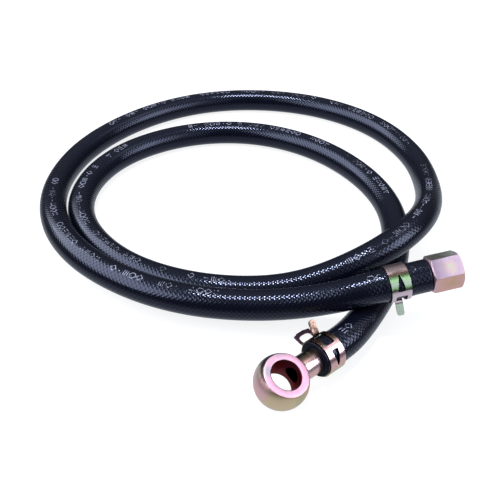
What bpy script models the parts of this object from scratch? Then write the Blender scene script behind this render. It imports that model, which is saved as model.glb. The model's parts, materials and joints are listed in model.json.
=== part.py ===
"""Hydraulic hose assembly lying in two loose turns, for Blender 4.5.

A rubber hose has a banjo eye on one end and a hexagon union nut on the other. Each end is held on its
barbed tail by a spring band clamp.

Scene units are metres, +Z is up and Z = 0 is the surface that the hose lies on. The origin is on that
surface, under the middle of the assembly's bounding box. Lengths below are in millimetres and MM
turns them into metres.
"""
import math

import bmesh
import bpy
from mathutils import Matrix, Vector

MM = 0.001
GAP = 0.3

# Hose: cover, textile braid and liner, each a tube inside the one before.
HOSE_RADIUS = 8.0
COVER_WALL = 1.4
BRAID_RADIUS = 6.3
BRAID_WALL = 0.5
LINER_RADIUS = 5.5
LINER_WALL = 1.5
HOSE_RINGS = 72
SPLINE_STEPS = 12
BANJO_END_STRAIGHT = 18.5
NUT_END_STRAIGHT = 23.0
SWELL_LENGTH = 50.0
BANJO_END_SWELL = 0.45
NUT_END_SWELL = 0.3

# Banjo eye: a ball with two flat sides, bored for a 14 mm hollow bolt.
EYE_CENTRE = Vector((19.0, -146.3, 12.8))
EYE_RADIUS = 12.8
EYE_HALF_WIDTH = 7.1
EYE_BORE_RADIUS = 7.1
EYE_BORE_CHAMFER = 0.4
EYE_NORMAL = Vector((0.293, -0.250, 0.923))
SOCKET_RADIUS = 4.4
SOCKET_RECESS_RADIUS = 6.45
SOCKET_RECESS_START = 10.4

# Barbed tails, which the hose is pushed over.
TAIL_BORE_RADIUS = 2.4
TAIL_ROOT_RADIUS = 3.4
TAIL_BARB_RADIUS = 3.8
TAIL_BARBS = 3
TAIL_BARB_PITCH = 6.0
COLLAR_RADIUS = 6.15
SPIGOT_RADIUS = 4.1
SPIGOT_START = 8.6
HOSE_START = 21.3

# Union nut, 17 mm across flats, for an M14 x 1.5 thread.
NUT_REAR = Vector((93.4, -91.8, 29.2))
NUT_LENGTH = 15.5
NUT_FLATS_RADIUS = 8.5
NUT_CHAMFER_ANGLE = 30.0
NUT_REAR_WALL = 3.5
NUT_REAR_HOLE_RADIUS = 4.9
NUT_THREAD_RADIUS = 6.2
NUT_ROLL = 34.4
NECK_RADIUS = 4.5
CONE_RADIUS = 5.8
CONE_NOSE_RADIUS = 3.6
CONE_COLLAR_LENGTH = 2.4
CONE_LENGTH = 4.0
HOSE_TO_NUT = 0.5

# Spring band clamps. Angles are in degrees round the hose axis, rows across the band.
BAND_WIDTH = 10.0
BAND_THICKNESS = 0.75
BAND_CLEARANCE = 0.3
BAND_STEP = 10.0
TONGUE_HALF_WIDTH = 1.9
WINDOW_HALF_WIDTH = 2.4
TONGUE_EAR_LENGTH = 8.2
LOOP_EAR_LENGTH = 6.6
LOOP_BAR = 1.7
LIP_LENGTH = 1.5
SLOT_HALF_WIDTH = 1.7
SLOT_TIP_HALF_WIDTH = 0.25
BANJO_CLAMP_FROM_END = 6.3
NUT_CLAMP_FROM_END = 16.3

TURN_STEPS = 24


def direction(heading, rise):
    """Unit vector at a heading in degrees from +X and a rise in degrees above level."""
    level = math.cos(math.radians(rise))
    return Vector((
        level * math.cos(math.radians(heading)),
        level * math.sin(math.radians(heading)),
        math.sin(math.radians(rise)),
    ))


BANJO_AXIS = direction(41.4, -3.1)
NUT_AXIS = direction(11.0, 7.5)

# The hose's route from the banjo eye to the nut. It lies on the surface except where it passes over
# itself: the second turn climbs over the first, leans on it along the front and ends on top of it.
ROUTE = [
    EYE_CENTRE + BANJO_AXIS * HOSE_START,
    EYE_CENTRE + BANJO_AXIS * 31.0,
    EYE_CENTRE + BANJO_AXIS * 42.0,
    (57, -110, 9.3), (65.5, -97, 8.3), (73.5, -83, 8), (80.8, -68, 8), (86.8, -50.5, 8),
    (91, -31.5, 8), (92.5, -12.5, 8), (90.8, 5.5, 8), (86, 22.5, 8), (78.5, 39, 8),
    (67.5, 56, 8), (52.5, 72.5, 8), (34, 85.5, 8), (14, 94, 8), (-7, 97.5, 8),
    (-29, 96, 8), (-51, 89, 8), (-71, 76.5, 8), (-87, 60, 8), (-97.5, 39.5, 8),
    (-102, 18.5, 8), (-101, -2.5, 8), (-94.5, -21.5, 8), (-83.5, -39, 8), (-68.5, -55, 8),
    (-49.5, -67.5, 8), (-27.5, -76, 8), (-4, -80, 8), (19, -79.5, 8.3), (37.3, -77.8, 12),
    (53.2, -74.5, 17), (67.7, -69.3, 21.6), (80.8, -61.5, 24.8), (92.2, -51.1, 26),
    (102.2, -37.1, 24.5), (110, -19.5, 20.2), (116, 0, 14.6), (119.8, 21, 10),
    (121, 41.5, 8), (119, 60.5, 8), (111.5, 84.5, 8), (99, 106.5, 8), (81, 125.5, 8),
    (57, 141, 8), (29, 150, 8), (-1, 152.5, 8), (-32, 147.5, 8), (-59, 134.5, 8),
    (-82, 116, 8), (-101, 92.5, 8), (-114.5, 65.5, 8), (-120.5, 37.5, 8.2),
    (-120, 10, 9.8), (-114, -15.5, 12.4), (-103.8, -38.5, 14), (-89, -58, 14.4),
    (-70.5, -73.3, 14.2), (-49.5, -85.5, 14), (-26, -93.5, 13.6), (-2, -96.8, 13.4),
    (21, -97.9, 14.6), (41, -98.8, 18.9), (55.5, -99, 23.4),
    NUT_REAR - NUT_AXIS * 28.6,
    NUT_REAR - NUT_AXIS * 20.0,
    NUT_REAR - NUT_AXIS * 10.0,
    NUT_REAR - NUT_AXIS * HOSE_TO_NUT,
]


def smooth_route():
    """Points of the uniform cubic B-spline through the route, which starts and ends on its ends."""
    points = [Vector(point) for point in ROUTE]
    points.insert(0, 2 * points[0] - points[1])
    points.append(2 * points[-1] - points[-2])
    curve = []
    for i in range(len(points) - 3):
        a, b, c, d = points[i:i + 4]
        for step in range(SPLINE_STEPS):
            t = step / SPLINE_STEPS
            curve.append((
                (1 - t) ** 3 * a
                + (3 * t ** 3 - 6 * t ** 2 + 4) * b
                + (-3 * t ** 3 + 3 * t ** 2 + 3 * t + 1) * c
                + t ** 3 * d
            ) / 6)
    curve.append(points[-2].copy())
    return curve


def resample(curve, count):
    """Points along a polyline, with each one's distance from the start.

    The two straight ends, which the clamps sit on, are one step each. The rest has even steps.
    """
    lengths = [0.0]
    for before, after in zip(curve, curve[1:]):
        lengths.append(lengths[-1] + (after - before).length)
    first = BANJO_END_STRAIGHT
    last = lengths[-1] - NUT_END_STRAIGHT
    steps = count - 3
    distances = [0.0] + [first + (last - first) * i / steps for i in range(steps + 1)] + [lengths[-1]]
    samples = []
    segment = 0
    for distance in distances:
        while segment < len(curve) - 2 and lengths[segment + 1] < distance:
            segment += 1
        share = (distance - lengths[segment]) / (lengths[segment + 1] - lengths[segment])
        samples.append((curve[segment].lerp(curve[segment + 1], share), distance))
    return samples


def material(name, colour, roughness, metallic):
    """A Principled material."""
    made = bpy.data.materials.new(name)
    made.use_nodes = True
    shader = made.node_tree.nodes["Principled BSDF"]
    shader.inputs["Base Color"].default_value = (*colour, 1.0)
    shader.inputs["Roughness"].default_value = roughness
    shader.inputs["Metallic"].default_value = metallic
    return made


def add_object(name, mesh, collection, surface=None):
    """Link a mesh as a named object, smooth except at its sharp edges."""
    made = bpy.data.objects.new(name, mesh)
    collection.objects.link(made)
    if surface:
        mesh.materials.append(surface)
    mesh.shade_smooth()
    mesh.set_sharp_from_angle(angle=math.radians(35))
    return made


def axis_frame(origin, axis, towards):
    """Matrix whose X runs along the axis and whose Z leans towards the given vector."""
    x = axis.normalized()
    z = (towards - towards.dot(x) * x).normalized()
    y = z.cross(x)
    return Matrix.Translation(origin * MM) @ Matrix((x, y, z)).transposed().to_4x4()


def turned(name, outline, collection, surface=None, steps=TURN_STEPS):
    """A solid turned about X from an outline of (along, radius) points, running towards +X outside.

    The outline closes on itself, unless it starts and ends on the axis.
    """
    mesh = bpy.data.meshes.new(name)
    points = [(along * MM, 0.0, radius * MM) for along, radius in outline]
    edges = [(i + 1, i) for i in range(len(points) - 1)]
    if outline[0][1] > 0:
        edges.append((0, len(points) - 1))
    mesh.from_pydata(points, edges, [])
    made = add_object(name, mesh, collection, surface)
    screw = made.modifiers.new("Turn", "SCREW")
    screw.axis = "X"
    screw.steps = steps
    screw.render_steps = steps
    screw.use_merge_vertices = True
    screw.merge_threshold = 0.00001
    screw.use_smooth_shade = True
    return made


def cutter(name, start, end, radius, matrix, collection, steps=TURN_STEPS):
    """A cylinder along the frame's X from start to end, used only to cut."""
    mesh = bpy.data.meshes.new(name)
    shape = bmesh.new()
    bmesh.ops.create_cone(
        shape, cap_ends=True, segments=steps, radius1=radius * MM, radius2=radius * MM,
        depth=(end - start) * MM,
        matrix=Matrix.Translation(((start + end) / 2 * MM, 0, 0)) @ Matrix.Rotation(math.pi / 2, 4, "Y"),
    )
    shape.to_mesh(mesh)
    shape.free()
    made = add_object(name, mesh, collection)
    made.matrix_world = matrix
    made.hide_render = True
    made.display_type = "WIRE"
    return made


def boolean(target, other, operation):
    """Add an exact Boolean modifier."""
    made = target.modifiers.new(other.name, "BOOLEAN")
    made.operation = operation
    made.object = other
    made.solver = "EXACT"


def hose_layer(name, radius, wall, samples, collection, surface):
    """One layer of the hose: a tube along the route, open at both ends and swollen over the tails."""
    length = samples[-1][1]
    curve = bpy.data.curves.new(name, "CURVE")
    curve.dimensions = "3D"
    curve.bevel_depth = radius * MM
    curve.bevel_resolution = 4
    spline = curve.splines.new("POLY")
    spline.points.add(len(samples) - 1)
    for point, (place, distance) in zip(spline.points, samples):
        swell = BANJO_END_SWELL * max(0.0, 1 - distance / SWELL_LENGTH)
        swell += NUT_END_SWELL * max(0.0, 1 - (length - distance) / SWELL_LENGTH)
        point.co = (*(place * MM), 1.0)
        point.radius = 1 + swell / radius
    guide = bpy.data.objects.new(name + "_guide", curve)
    collection.objects.link(guide)
    bpy.context.view_layer.update()
    mesh = bpy.data.meshes.new_from_object(guide.evaluated_get(bpy.context.evaluated_depsgraph_get()))
    bpy.data.objects.remove(guide)
    shape = bmesh.new()
    shape.from_mesh(mesh)
    bmesh.ops.remove_doubles(shape, verts=shape.verts, dist=0.00001)
    bmesh.ops.recalc_face_normals(shape, faces=shape.faces)
    shape.to_mesh(mesh)
    shape.free()
    mesh.materials.clear()
    made = add_object(name, mesh, collection, surface)
    thickness = made.modifiers.new("Wall", "SOLIDIFY")
    thickness.thickness = wall * MM
    thickness.offset = -1.0
    return made


def barbs(start, sign):
    """Outline of a barbed stretch from its shoulder to its tip, running in the sign's direction."""
    points = [(start, TAIL_ROOT_RADIUS)]
    for i in range(TAIL_BARBS):
        foot = start + sign * (TAIL_BARB_PITCH * i + 2.0)
        points.append((foot, TAIL_ROOT_RADIUS))
        points.append((foot + sign * 0.4, TAIL_BARB_RADIUS))
        points.append((foot + sign * (TAIL_BARB_PITCH - 2.0), TAIL_ROOT_RADIUS))
    tip = start + sign * (TAIL_BARB_PITCH * TAIL_BARBS + 1.0)
    points.append((tip, TAIL_ROOT_RADIUS - 0.3))
    points.append((tip, TAIL_BORE_RADIUS))
    return points


def banjo_eye(frame, collection, cutters, surface):
    """The ball with two flats and a bolt bore, and the socket that takes the tail's spigot."""
    eye_matrix = axis_frame(EYE_CENTRE, EYE_NORMAL, BANJO_AXIS)
    face_radius = math.sqrt(EYE_RADIUS ** 2 - EYE_HALF_WIDTH ** 2)
    limit = math.asin(EYE_HALF_WIDTH / EYE_RADIUS)
    outline = [
        (-EYE_HALF_WIDTH + EYE_BORE_CHAMFER, EYE_BORE_RADIUS),
        (-EYE_HALF_WIDTH, EYE_BORE_RADIUS + EYE_BORE_CHAMFER),
        (-EYE_HALF_WIDTH, face_radius),
    ]
    arc_steps = 8
    for i in range(1, arc_steps):
        angle = -limit + 2 * limit * i / arc_steps
        outline.append((EYE_RADIUS * math.sin(angle), EYE_RADIUS * math.cos(angle)))
    outline += [
        (EYE_HALF_WIDTH, face_radius),
        (EYE_HALF_WIDTH, EYE_BORE_RADIUS + EYE_BORE_CHAMFER),
        (EYE_HALF_WIDTH - EYE_BORE_CHAMFER, EYE_BORE_RADIUS),
    ]
    eye = turned("banjo_eye", outline, collection, surface, steps=36)
    eye.matrix_world = eye_matrix
    socket = cutter("eye_socket", 4.0, EYE_RADIUS + 2.0, SOCKET_RADIUS, frame, cutters)
    recess = cutter("eye_recess", SOCKET_RECESS_START, EYE_RADIUS + 2.0, SOCKET_RECESS_RADIUS, frame, cutters)
    boolean(eye, socket, "DIFFERENCE")
    boolean(eye, recess, "DIFFERENCE")
    return eye


def banjo_tail(frame, collection, surface):
    """The collar and barbed tail that carry the eye."""
    hose_face = HOSE_START - GAP
    outline = [
        (SPIGOT_START, TAIL_BORE_RADIUS),
        (SPIGOT_START, SPIGOT_RADIUS),
        (SOCKET_RECESS_START + GAP, SPIGOT_RADIUS),
        (SOCKET_RECESS_START + GAP, COLLAR_RADIUS),
        (hose_face - 0.4, COLLAR_RADIUS),
        (hose_face, COLLAR_RADIUS - 0.4),
    ] + barbs(hose_face, 1)
    tail = turned("banjo_tail", outline, collection, surface)
    tail.matrix_world = frame
    return tail


def nut_tail(frame, collection, surface):
    """The barbed tail with the cone that the union nut pulls onto its seat."""
    shoulder = -HOSE_TO_NUT + GAP
    head = NUT_REAR_WALL + GAP
    nose = head + CONE_COLLAR_LENGTH + CONE_LENGTH
    outline = list(reversed(barbs(shoulder, -1))) + [
        (shoulder, NECK_RADIUS),
        (head, NECK_RADIUS),
        (head, CONE_RADIUS),
        (head + CONE_COLLAR_LENGTH, CONE_RADIUS),
        (nose, CONE_NOSE_RADIUS),
        (nose, TAIL_BORE_RADIUS),
    ]
    tail = turned("nut_tail", outline, collection, surface)
    tail.matrix_world = frame
    return tail


def union_nut(frame, collection, cutters, surface):
    """The hexagon nut with chamfered ends, its thread bore and the hole for the tail's neck."""
    corner_radius = NUT_FLATS_RADIUS / math.cos(math.radians(30))
    mesh = bpy.data.meshes.new("union_nut")
    shape = bmesh.new()
    bmesh.ops.create_cone(
        shape, cap_ends=True, segments=6, radius1=corner_radius * MM, radius2=corner_radius * MM,
        depth=NUT_LENGTH * MM,
        matrix=Matrix.Translation((NUT_LENGTH / 2 * MM, 0, 0)) @ Matrix.Rotation(math.pi / 2, 4, "Y"),
    )
    shape.to_mesh(mesh)
    shape.free()
    nut = add_object("union_nut", mesh, collection, surface)
    nut.matrix_world = frame @ Matrix.Rotation(math.radians(NUT_ROLL), 4, "X")
    end_radius = NUT_FLATS_RADIUS - 0.2
    chamfer = (corner_radius + 0.5 - end_radius) * math.tan(math.radians(NUT_CHAMFER_ANGLE))
    outline = [
        (0.0, 0.0),
        (0.0, end_radius),
        (chamfer, corner_radius + 0.5),
        (NUT_LENGTH - chamfer, corner_radius + 0.5),
        (NUT_LENGTH, end_radius),
        (NUT_LENGTH, 0.0),
    ]
    rounding = turned("nut_rounding", outline, cutters, steps=36)
    rounding.matrix_world = frame
    rounding.hide_render = True
    rounding.display_type = "WIRE"
    boolean(nut, rounding, "INTERSECT")
    neck_hole = cutter("nut_neck_hole", -1.0, NUT_LENGTH - 1.0, NUT_REAR_HOLE_RADIUS, frame, cutters)
    thread_bore = cutter("nut_thread_bore", NUT_REAR_WALL, NUT_LENGTH + 1.0, NUT_THREAD_RADIUS, frame, cutters)
    boolean(nut, neck_hole, "DIFFERENCE")
    boolean(nut, thread_bore, "DIFFERENCE")
    return nut


def band_sheet(radius, spread):
    """The middle sheet of a clamp's strap, as a bmesh in the frame of its hose: X along the hose.

    The strap starts at the tongue ear, which stands at angle zero, runs round the hose and ends at the
    loop ear, which stands at the spread angle. Its last stretch has a window that the tongue passes
    through, and a tapered slot makes it springy.
    """
    shape = bmesh.new()
    half = BAND_WIDTH / 2

    def vertex(across, angle, height=0.0):
        turn = math.radians(angle)
        reach = (radius + height) * MM
        return shape.verts.new((across * MM, reach * math.cos(turn), reach * math.sin(turn)))

    def row(offsets, angle, height=0.0):
        return [vertex(across, angle, height) for across in offsets]

    def join(before, after, skip=()):
        for i in range(len(before) - 1):
            if i not in skip:
                shape.faces.new((before[i], before[i + 1], after[i + 1], after[i]))

    # The tongue: its ear with a rounded end, then a narrow stretch round to where the strap widens.
    narrow = (-TONGUE_HALF_WIDTH, TONGUE_HALF_WIDTH)
    tip = row((-TONGUE_HALF_WIDTH * 0.45, TONGUE_HALF_WIDTH * 0.45), 0, TONGUE_EAR_LENGTH)
    rows = [tip]
    rows.append(row([x * 0.85 for x in narrow], 0, TONGUE_EAR_LENGTH - 0.6))
    rows.append(row(narrow, 0, TONGUE_EAR_LENGTH - 1.7))
    rows.append(row(narrow, 0, 1.2))
    rows.append(row(narrow, 2, 0.3))
    rows.append(row(narrow, 8))
    narrow_end = spread + 8
    for i in range(1, 4):
        rows.append(row(narrow, 8 + (narrow_end - 8) * i / 3))
    for before, after in zip(rows, rows[1:]):
        join(before, after)

    # The full width, with the tapered slot in its last third.
    full = (-half, -TONGUE_HALF_WIDTH, TONGUE_HALF_WIDTH, half)
    start = row(full, spread + 18)
    left, right = rows[-1]
    shape.faces.new((left, right, start[2], start[1]))
    shape.faces.new((left, start[1], start[0]))
    shape.faces.new((right, start[3], start[2]))
    slot_tip = 240.0
    slot_wide = 278.0
    window_start = 301.0
    window_end = 360.0 + spread
    last = start
    angle = spread + 18
    while angle + BAND_STEP < slot_tip - 1:
        angle += BAND_STEP
        after = row(full, angle)
        join(last, after)
        last = after
    slot_steps = 4
    for i in range(slot_steps + 1):
        share = i / slot_steps
        gap = SLOT_TIP_HALF_WIDTH + (SLOT_HALF_WIDTH - SLOT_TIP_HALF_WIDTH) * share
        after = row((-half, -gap, gap, half), slot_tip + (slot_wide - slot_tip) * share)
        join(last, after, skip=(1,) if i else ())
        last = after
    window = (-half, -WINDOW_HALF_WIDTH, WINDOW_HALF_WIDTH, half)
    for angle in ((slot_wide + window_start) / 2, window_start):
        after = row(window, angle)
        join(last, after)
        last = after

    # The window's two rails, then the loop ear with its bar and lip.
    rail_steps = 10
    ear_angle = window_end - 6
    for i in range(1, rail_steps + 1):
        after = row(window, window_start + (ear_angle - window_start) * i / rail_steps)
        join(last, after, skip=(1,))
        last = after
    opening_top = LOOP_EAR_LENGTH - LOOP_BAR
    for ear_turn, height, closed in (
        (window_end - 1, 0.3, False),
        (window_end, 1.2, False),
        (window_end, opening_top, False),
        (window_end, LOOP_EAR_LENGTH, True),
    ):
        after = row(window, ear_turn, height)
        join(last, after, skip=() if closed else (1,))
        last = after
    lip_turn = math.degrees(LIP_LENGTH * 0.8 / (radius + LOOP_EAR_LENGTH))
    lip = row((-half * 0.5, half * 0.5), window_end + lip_turn, LOOP_EAR_LENGTH + LIP_LENGTH * 0.6)
    shape.faces.new((last[1], last[2], lip[1], lip[0]))
    bmesh.ops.recalc_face_normals(shape, faces=shape.faces)
    return shape


def spring_clamp(name, centre, axis, tongue, inner_radius, spread, collection, surface):
    """A spring band clamp whose tongue ear stands along the tongue vector."""
    radius = inner_radius + BAND_THICKNESS / 2
    shape = band_sheet(radius, spread)
    mesh = bpy.data.meshes.new(name)
    shape.to_mesh(mesh)
    shape.free()
    made = add_object(name, mesh, collection, surface)
    x = axis.normalized()
    y = (tongue - tongue.dot(x) * x).normalized()
    made.matrix_world = Matrix.Translation(centre * MM) @ Matrix((x, y, x.cross(y))).transposed().to_4x4()
    thickness = made.modifiers.new("Thickness", "SOLIDIFY")
    thickness.thickness = BAND_THICKNESS * MM
    thickness.offset = 0.0
    thickness.use_even_offset = True
    return made


def around(axis, angle):
    """Unit vector square to the axis, at an angle in degrees up from its level right-hand side."""
    side = axis.cross(Vector((0, 0, 1))).normalized()
    up = side.cross(axis).normalized()
    return side * math.cos(math.radians(angle)) + up * math.sin(math.radians(angle))


def main():
    for old in list(bpy.data.objects):
        bpy.data.objects.remove(old)
    parts = bpy.data.collections.new("hydraulic_hose_assembly")
    cutters = bpy.data.collections.new("cutters")
    bpy.context.scene.collection.children.link(parts)
    bpy.context.scene.collection.children.link(cutters)

    banjo_frame = axis_frame(EYE_CENTRE, BANJO_AXIS, Vector((0, 0, 1)))
    nut_frame = axis_frame(NUT_REAR, NUT_AXIS, Vector((0, 0, 1)))

    samples = resample(smooth_route(), HOSE_RINGS)
    cover = material("hose_cover", (0.015, 0.016, 0.022), 0.3, 0.0)
    braid = material("hose_braid", (0.55, 0.53, 0.48), 0.9, 0.0)
    liner = material("hose_liner", (0.02, 0.02, 0.02), 0.6, 0.0)
    hose_layer("hose_cover", HOSE_RADIUS, COVER_WALL, samples, parts, cover)
    hose_layer("hose_braid", BRAID_RADIUS, BRAID_WALL, samples, parts, braid)
    hose_layer("hose_liner", LINER_RADIUS, LINER_WALL, samples, parts, liner)

    plating = (0.72, 0.6, 0.5)
    banjo_eye(banjo_frame, parts, cutters, material("eye_plating", plating, 0.25, 1.0))
    banjo_tail(banjo_frame, parts, material("banjo_tail_plating", plating, 0.25, 1.0))
    nut_tail(nut_frame, parts, material("nut_tail_plating", plating, 0.25, 1.0))
    union_nut(nut_frame, parts, cutters, material("nut_plating", plating, 0.3, 1.0))

    banjo_clamp_centre = EYE_CENTRE + BANJO_AXIS * (HOSE_START + BANJO_CLAMP_FROM_END)
    spring_clamp(
        "banjo_end_clamp", banjo_clamp_centre, -BANJO_AXIS, around(BANJO_AXIS, 127),
        HOSE_RADIUS + BANJO_END_SWELL + BAND_CLEARANCE, 45.0, parts,
        material("banjo_clamp_plating", plating, 0.2, 1.0),
    )
    nut_clamp_centre = NUT_REAR - NUT_AXIS * (HOSE_TO_NUT + NUT_CLAMP_FROM_END)
    spring_clamp(
        "nut_end_clamp", nut_clamp_centre, NUT_AXIS, around(NUT_AXIS, -62),
        HOSE_RADIUS + NUT_END_SWELL + BAND_CLEARANCE, 82.0, parts,
        material("nut_clamp_plating", plating, 0.2, 1.0),
    )


main()
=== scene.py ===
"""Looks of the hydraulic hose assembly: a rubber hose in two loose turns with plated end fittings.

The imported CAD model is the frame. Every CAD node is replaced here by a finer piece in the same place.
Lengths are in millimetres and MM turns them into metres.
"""
import bisect
import json
import math

import bmesh
import bpy
from mathutils import Matrix, Vector


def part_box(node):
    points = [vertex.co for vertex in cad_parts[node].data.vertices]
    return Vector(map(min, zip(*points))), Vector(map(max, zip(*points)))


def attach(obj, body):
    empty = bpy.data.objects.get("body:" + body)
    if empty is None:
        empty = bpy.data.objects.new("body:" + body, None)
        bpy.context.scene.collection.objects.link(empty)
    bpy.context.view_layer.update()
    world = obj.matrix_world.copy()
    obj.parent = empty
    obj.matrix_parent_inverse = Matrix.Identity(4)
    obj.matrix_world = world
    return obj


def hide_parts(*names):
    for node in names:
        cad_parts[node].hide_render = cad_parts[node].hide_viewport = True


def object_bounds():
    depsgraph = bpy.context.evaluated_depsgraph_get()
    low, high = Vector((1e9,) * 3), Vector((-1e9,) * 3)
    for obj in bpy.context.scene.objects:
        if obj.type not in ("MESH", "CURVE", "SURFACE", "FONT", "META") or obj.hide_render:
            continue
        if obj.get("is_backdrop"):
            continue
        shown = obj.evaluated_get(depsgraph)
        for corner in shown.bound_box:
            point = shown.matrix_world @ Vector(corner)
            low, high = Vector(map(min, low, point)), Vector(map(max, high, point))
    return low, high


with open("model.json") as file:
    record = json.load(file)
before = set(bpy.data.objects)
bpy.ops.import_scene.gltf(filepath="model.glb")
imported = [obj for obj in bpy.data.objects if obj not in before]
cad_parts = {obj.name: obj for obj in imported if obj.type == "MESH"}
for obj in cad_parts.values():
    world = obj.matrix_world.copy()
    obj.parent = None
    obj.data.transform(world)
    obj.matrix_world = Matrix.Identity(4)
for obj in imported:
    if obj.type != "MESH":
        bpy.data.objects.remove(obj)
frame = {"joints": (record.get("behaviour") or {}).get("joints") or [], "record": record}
cad_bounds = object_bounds()

MM = 0.001
UP = Vector((0, 0, 1))

joints = {joint["name"]: joint for joint in frame["joints"]}
mounts = {mount["name"]: mount for mount in frame["record"]["mounts"]}

# Camera and floor, in metres and degrees.
CAMERA_PLACE = Vector((0.0050, -0.3435, 0.2416))
CAMERA_PITCH = 38.0
CAMERA_LENS = 47.74
FLOOR_RADIUS = 1.6
FLOOR_GREY = (0.26, 0.26, 0.26)
FLOOR_GLOW = 0.82

# Brightness of the room's far side and of the camera's side, from straight down (0) to straight up (1).
FAR_LEVELS = ((0.0, 0.68), (0.33, 0.62), (0.40, 0.15), (0.5, 0.06), (0.62, 0.1), (0.88, 0.4))
NEAR_LEVELS = ((0.0, 0.68), (0.33, 0.6), (0.40, 0.16), (0.5, 0.05), (0.85, 0.07), (0.97, 0.32))
ROOM_TINT = (0.82, 0.89, 1.0)
BACKDROP = (0.93, 0.93, 0.93)

# Soft boxes: azimuth, elevation, distance, width, height and radiance, in metres and degrees.
SOFT_BOXES = {
    "left_box": (183, 41, 1.2, 2.0, 0.95, 4.7),
    "right_box": (343, 29, 1.2, 0.75, 0.8, 4.7),
    "front_right_box": (304, 31, 1.3, 0.42, 1.45, 0.9),
    "back_right_box": (25, 56, 1.3, 0.5, 0.5, 1.3),
    "top_box": (215, 86, 1.1, 0.12, 0.12, 150.0),
}
BOX_TINT = (0.87, 0.91, 1.0)

# Hose: cover, textile braid and liner, each a tube inside the one before.
HOSE_RADIUS = 8.0
COVER_WALL = 1.4
BRAID_RADIUS = 6.3
BRAID_WALL = 0.5
LINER_RADIUS = 5.5
LINER_WALL = 1.5
SPLINE_STEPS = 24
SWELL_LENGTH = 50.0
BANJO_END_SWELL = 0.45
NUT_END_SWELL = 0.3
LIP_SWELL = 0.35
LIP_LENGTH = 1.3
SHOULDER_SWELL = 0.16
SHOULDER_OFFSET = 1.2
SHOULDER_LENGTH = 1.6
LIP_RING_STEP = 0.25
CLAMP_RING_STEP = 0.5
SMALLEST_RING_STEP = 0.12
MOUTH_DROP = 1.0
MOUTH_DEPTH = 1.7

# Printed line: groups of generic marks, the stretches of hose that carry them and their angle around it.
MARK_WIDTH = 2.8
MARK_HEIGHT = 4.2
MARK_STROKE = 0.44
MARK_PITCH = 4.1
MARK_LIFT = 0.05
MARK_STRIP = 0.6
BAR_SPACING = 1.1
DOT_SPACING = 1.8
PRINT_GROUP = (
    "hexagon diamond stack bars stack diamond space triangle bars diamond dots stack space "
    "diamond dot bars hexagon diamond space "
    "dash bars diamond dot dash triangle hexagon diamond dots space space"
).split()
PRINT_STRETCHES = (
    (15, 27), (146, 206), (222, 288), (293, 334), (383, 403), (413, 534), (546, 551), (561, 585),
    (649, 790), (812, 900), (915, 1010), (1018, 1090), (1171, 1276), (1282, 1304), (1313, 1325),
    (1330, 1355), (1418, 1446),
)
PRINT_TWIST = (
    (0, 88), (400, 100), (450, 88), (520, 90), (560, 87), (585, 78), (650, 70), (670, 74), (705, 96),
    (790, 98), (870, 104), (930, 95), (1000, 90), (1170, 99), (1240, 90), (1290, 78), (1325, 86),
    (1355, 86), (1450, 76),
)

# Relief and grain of the surfaces.
BRAID_PITCH = 2.5
BRAID_YARNS = 16.0
RELIEF_DEPTH = 0.085
BRAID_DEPTH = 0.3
RUBBER_GRAIN = 0.03
LINER_GRAIN = 0.05
PLATING_GRAIN = 0.02

# Rubber, print and braid.
WHITE = (1.0, 1.0, 1.0)
RUBBER = (0.0022, 0.0028, 0.0065)
RUBBER_SHEEN = (0.66, 0.72, 1.0)
LINER_RUBBER = (0.012, 0.012, 0.014)
INK = (0.24, 0.25, 0.33)
WORN_INK = (0.02, 0.022, 0.03)
YARN = (0.62, 0.6, 0.54)
YARN_SHADE = (0.2, 0.19, 0.16)

# Interference tints of the zinc plating, as linear reflectances, and the colours painted as light and shade
# on the metal.
# Pink and rose are plating tints that the stem and the banjo clamp also use as painted highlights.
PINK = (0.98, 0.60, 0.58)
ROSE = (0.86, 0.62, 0.64)
PALE_PINK = (0.88, 0.60, 0.72)
PALE_LILAC = (0.73, 0.58, 0.72)
FACE_PINK = (0.92, 0.49, 0.63)
FACE_GREY = (0.56, 0.46, 0.53)
PALE_GOLD = (0.78, 0.74, 0.60)
LAVENDER = (0.94, 0.74, 0.80)
LILAC_GREY = (0.46, 0.34, 0.44)
PURPLE = (0.12, 0.055, 0.09)
PLUM = (0.17, 0.05, 0.05)
# Dark plum painted as shade deep in the eye's bore.
SHADED_PLUM = (0.05, 0.014, 0.018)
SALMON = (0.96, 0.57, 0.49)
COPPER = (0.60, 0.36, 0.29)
UMBER = (0.66, 0.48, 0.46)
RUST = (0.10, 0.06, 0.05)
TAN = (0.86, 0.54, 0.34)
GOLD = (0.66, 0.60, 0.34)
STRAW = (0.88, 0.68, 0.42)
# Dark olive, a plating tint that the ball, the stem and the nut clamp also use as painted shade.
OLIVE_SHADE = (0.13, 0.13, 0.08)
SAGE = (0.42, 0.41, 0.34)
PALE_SAGE = (1.0, 0.98, 0.88)
BRONZE = (0.32, 0.21, 0.16)
# Painted shade on the metal: brown and near-black.
SHADE_BROWN = (0.09, 0.05, 0.035)
SHADE_DARK = (0.03, 0.035, 0.025)
MINT = (0.42, 0.74, 0.32)
# Pale mint: the ears' tint, and a painted highlight in the middle of the nut clamp's mint band.
PALE_MINT = (0.80, 0.95, 0.76)
# Black painted as shade in the eye's socket and inside the stem's collar.
SHADE_BLACK = (0.006, 0.005, 0.005)
SOIL = (0.7, 0.64, 0.6)
BORE_SHEEN = (0.7, 0.42, 0.42)

# Space between neighbouring pieces.
GAP = 0.3

# Banjo eye, which the frame gives the place of.
EYE_CENTRE = (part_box("banjo_eye")[0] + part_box("banjo_eye")[1]) / 2 / MM
EYE_NORMAL = Vector(mounts["bolt_face_upper"]["axis"]).normalized()
BANJO_AXIS = -Vector(joints["banjo_clamp_turn"]["axis"]).normalized()
EYE_RADIUS = 12.8
EYE_HALF_WIDTH = 7.1
EYE_BORE_RADIUS = 7.1
EYE_BORE_EDGE = 0.4
SOCKET_RADIUS = 3.8
SOCKET_START = 4.0

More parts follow.
